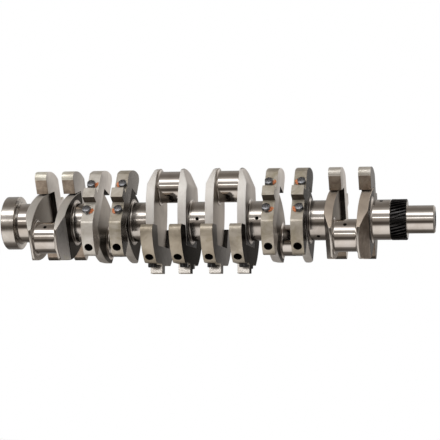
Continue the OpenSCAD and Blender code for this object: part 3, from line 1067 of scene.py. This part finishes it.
def build_bolts(i):
    shells = Shells()
    shank_len = LAND - SPOT_DEPTH - SEAT + BOLT_BELOW_SEAT
    shank = lathe([(-shank_len, 0), (-shank_len, BOLT_R), (0.2 * MM, BOLT_R), (0.2 * MM, 0)], 32)
    shank = ([(-v[2], v[1], v[0]) for v in shank[0]], shank[1], shank[2])
    head = hex_head()
    for side in (-1, 1):
        seat = Matrix.Translation((BOLT_X, side * BOLT_SIDE, -(LAND - SPOT_DEPTH)))
        spin = Matrix.Rotation(BOLT_SPIN * i + side, 4, "Z")
        place = at_web(i) @ seat @ Matrix.Rotation(math.pi, 4, "X") @ spin
        shells.add(*shank, place)
        shells.add(*head, place)
    bolts = shells.build(f"bolts_{i}", [MATERIALS["bolt_shaded" if i in SHADED_BOLTS else "bolt_steel"]])
    smooth(bolts, 25)
    return finish_piece(bolts, f"counterweight_bolts_{i}")


# ---------------------------------------------------------------- gear, key and dowel
def gear_outline():
    """The gear's outline as (angle, share of the tooth's height)."""
    pitch = 2 * math.pi / GEAR_TEETH
    flank_rows = 5
    tooth = [(-0.5, 0.0), (-TOOTH_ROOT, 0.0)]
    for j in range(flank_rows + 1):
        f = j / flank_rows
        tooth.append((-TOOTH_FOOT + (TOOTH_FOOT - TOOTH_TIP) * f ** 0.8, f))
    tooth += [(-x, f) for x, f in reversed(tooth[2:])] + [(TOOTH_ROOT, 0.0)]
    return [(pitch * (n + x), f) for n in range(GEAR_TEETH) for x, f in tooth]


def build_gear():
    width = gear_high.x - gear_low.x
    tip_r = (gear_high.z - gear_low.z) / 2
    root_r = tip_r - TOOTH_HEIGHT
    twist = -math.tan(GEAR_HELIX) * width / (tip_r - TOOTH_ADDENDUM)
    outline = gear_outline()
    count = len(outline)
    verts = []

    def add_ring(x, radius_at, shift=0.0):
        """A ring of the outline's points at x, twisted with the teeth, then shifted along X."""
        for a, f in outline:
            b = a + twist * (x / width - 0.5)
            r = radius_at(f)
            verts.append((gear_low.x + x + shift, -r * math.sin(b), r * math.cos(b)))

    slices = [(0.0, GEAR_CHAMFER), (GEAR_CHAMFER, 0.0)]
    slices += [(x, 0.0) for x in np.linspace(GEAR_CHAMFER, width - GEAR_CHAMFER, 9)[1:-1]]
    slices += [(width - GEAR_CHAMFER, 0.0), (width, GEAR_CHAMFER)]
    for x, cut in slices:
        add_ring(x, lambda f: min(root_r + (tip_r - root_r) * f, tip_r - cut))
    faces = strips(len(slices), count)
    numbers = [0] * len(faces)

    bores = []
    for end, inward in ((0, 1), (len(slices) - 1, -1)):
        rings = [end * count]
        for r in (root_r - BORE_CHAMFER, GEAR_SEAT_R + BORE_CHAMFER, GEAR_SEAT_R):
            rings.append(len(verts))
            shift = BORE_CHAMFER * inward if r == GEAR_SEAT_R else 0.0
            add_ring(slices[end][0], lambda f: r, shift)
        for outer, inner in zip(rings, rings[1:]):
            for j in range(count):
                k = (j + 1) % count
                faces.append((outer + j, outer + k, inner + k, inner + j))
        bores.append(rings[-1])
    for j in range(count):
        k = (j + 1) % count
        faces.append((bores[0] + j, bores[0] + k, bores[1] + k, bores[1] + j))
    numbers += [1] * (len(faces) - len(numbers))
    materials = [MATERIALS["black_oxide"], MATERIALS["turned_steel"]]
    gear = make_object("gear", verts, faces, materials, numbers)
    smooth(gear, 28)
    return finish_piece(gear, "crank_gear")


def finish_hidden_nodes():
    """The key and the dowel keep their CAD shape and get a ground steel finish."""
    for name in ("gear_key", "flange_dowel"):
        node = frame["nodes"][name]
        node.data.materials.clear()
        node.data.materials.append(MATERIALS["ground_steel"])


# ---------------------------------------------------------------- camera and light
LENS = 130.9
CAMERA_TARGET = Vector((0.5242, 0.0, 0.0031))
CAMERA_DISTANCE = 3.791
CAMERA_AZIMUTH = math.radians(11.5)
CAMERA_ELEVATION = math.radians(-4.9)
CAMERA_ROLL = math.radians(0.44)


def build_camera():
    data = bpy.data.cameras.new("camera")
    data.lens = LENS
    data.sensor_width = 36
    camera = bpy.data.objects.new("camera", data)
    bpy.context.scene.collection.objects.link(camera)
    a, e = CAMERA_AZIMUTH, CAMERA_ELEVATION
    back = Vector((math.sin(a) * math.cos(e), -math.cos(a) * math.cos(e), math.sin(e)))
    camera.location = CAMERA_TARGET + back * CAMERA_DISTANCE
    facing = (-back).to_track_quat("-Z", "Y").to_matrix()
    camera.rotation_mode = "QUATERNION"
    camera.rotation_quaternion = (facing @ Matrix.Rotation(CAMERA_ROLL, 3, "Z")).to_quaternion()
    bpy.context.scene.camera = camera


# The studio round the shaft, as (angle above the front horizon in degrees, brightness, warmth)
STUDIO = (
    (-180, 0.25, 0.2), (-150, 0.2, 0.3), (-132, 0.07, 0.7), (-100, 0.2, 0.6), (-90, 0.8, 0.3),
    (-60, 1.0, 0.3), (-44, 0.95, 0.3), (-37, 0.4, 0.5), (-31, 0.09, 0.9), (-18, 0.09, 0.9),
    (-9, 0.34, 0.6), (3, 0.5, 0.5), (5.5, 0.7, 0.3), (6.5, 3.2, 0.15), (9.5, 3.2, 0.15),
    (10.5, 0.5, 0.3), (28, 0.42, 0.35), (33, 1.2, 0.1), (36, 3.6, 0.08), (45, 3.6, 0.08),
    (51, 1.0, 0.2), (60, 0.42, 0.4), (75, 0.22, 0.7), (95, 0.22, 0.6), (125, 0.35, 0.4),
    (150, 0.35, 0.2), (180, 0.25, 0.2),
)
# The same for the directions towards the nose, which the webs' and weights' sides look at
STUDIO_NOSE = (
    (-180, 0.6, 0.35), (-165, 0.3, 0.6), (-110, 0.04, 0.8), (-80, 0.25, 0.5), (-40, 0.3, 0.5),
    (-15, 0.08, 0.9), (15, 0.3, 0.4), (35, 1.0, 0.1), (46, 1.0, 0.1), (60, 0.2, 0.5),
    (100, 0.3, 0.5), (140, 0.8, 0.35), (165, 0.95, 0.3), (180, 0.6, 0.35),
)
COOL = (1.0, 1.0, 1.0)
WARM = (1.0, 0.84, 0.7)
NOSE_SIDE_FROM = 0.0
NOSE_SIDE_TO = 0.22


def studio_colours(nodes, stops, top):
    """A colour ramp over the angle round the shaft, with levels relative to top."""
    ramp = nodes.new("ShaderNodeValToRGB")
    elements = ramp.color_ramp.elements
    while len(elements) < len(stops):
        elements.new(0.5)
    for element, (degrees, level, warmth) in zip(elements, stops):
        element.position = (degrees + 180) / 360
        tint = [c + (w - c) * warmth for c, w in zip(COOL, WARM)]
        element.color = (*[level / top * v for v in tint], 1)
    return ramp


def build_world():
    world = bpy.data.worlds.new("studio")
    bpy.context.scene.world = world
    world.use_nodes = True
    tree = world.node_tree
    nodes, links = tree.nodes, tree.links
    nodes.clear()
    coords = nodes.new("ShaderNodeTexCoord")
    split = nodes.new("ShaderNodeSeparateXYZ")
    links.new(coords.outputs["Generated"], split.inputs[0])
    front = nodes.new("ShaderNodeMath")
    front.operation = "MULTIPLY"
    front.inputs[1].default_value = -1
    links.new(split.outputs["Y"], front.inputs[0])
    angle = nodes.new("ShaderNodeMath")
    angle.operation = "ARCTAN2"
    links.new(split.outputs["Z"], angle.inputs[0])
    links.new(front.outputs[0], angle.inputs[1])
    share = nodes.new("ShaderNodeMapRange")
    share.inputs["From Min"].default_value = -math.pi
    share.inputs["From Max"].default_value = math.pi
    links.new(angle.outputs[0], share.inputs["Value"])
    top = max(level for _, level, _ in STUDIO)
    side = nodes.new("ShaderNodeMapRange")
    side.interpolation_type = "SMOOTHSTEP"
    side.inputs["From Min"].default_value = NOSE_SIDE_FROM
    side.inputs["From Max"].default_value = NOSE_SIDE_TO
    links.new(split.outputs["X"], side.inputs["Value"])
    blend = nodes.new("ShaderNodeMix")
    blend.data_type = "RGBA"
    links.new(side.outputs["Result"], blend.inputs[0])
    for stops, socket in ((STUDIO, 6), (STUDIO_NOSE, 7)):
        ramp = studio_colours(nodes, stops, top)
        links.new(share.outputs["Result"], ramp.inputs["Fac"])
        links.new(ramp.outputs["Color"], blend.inputs[socket])
    studio = nodes.new("ShaderNodeBackground")
    studio.inputs["Strength"].default_value = top
    links.new(blend.outputs[2], studio.inputs["Color"])
    white = nodes.new("ShaderNodeBackground")
    white.inputs["Color"].default_value = (1, 1, 1, 1)
    rays = nodes.new("ShaderNodeLightPath")
    mix = nodes.new("ShaderNodeMixShader")
    links.new(rays.outputs["Is Camera Ray"], mix.inputs["Fac"])
    links.new(studio.outputs[0], mix.inputs[1])
    links.new(white.outputs[0], mix.inputs[2])
    output = nodes.new("ShaderNodeOutputWorld")
    links.new(mix.outputs[0], output.inputs["Surface"])


def build_floor():
    """A pale floor. The studio's light from below is in the world, so the floor doesn't add to it."""
    low, high = cad_bounds
    level, front, back, side = -0.6, -1.4, 1.4, 1.6
    mid = (low.x + high.x) / 2
    corners = ((mid - side, front), (mid + side, front), (mid + side, back), (mid - side, back))
    floor = make_object("floor", [(x, y, level) for x, y in corners], [(0, 1, 2, 3)], [pale_floor()])
    floor.visible_diffuse = False
    floor.visible_glossy = False
    floor.visible_shadow = False


build_camera()
build_world()
build_floor()
build_forging()
for number in range(1, WEBS + 1):
    build_weight(number)
    build_bolts(number)
build_gear()
finish_hidden_nodes()

view = bpy.context.scene.view_settings
view.view_transform = "Standard"
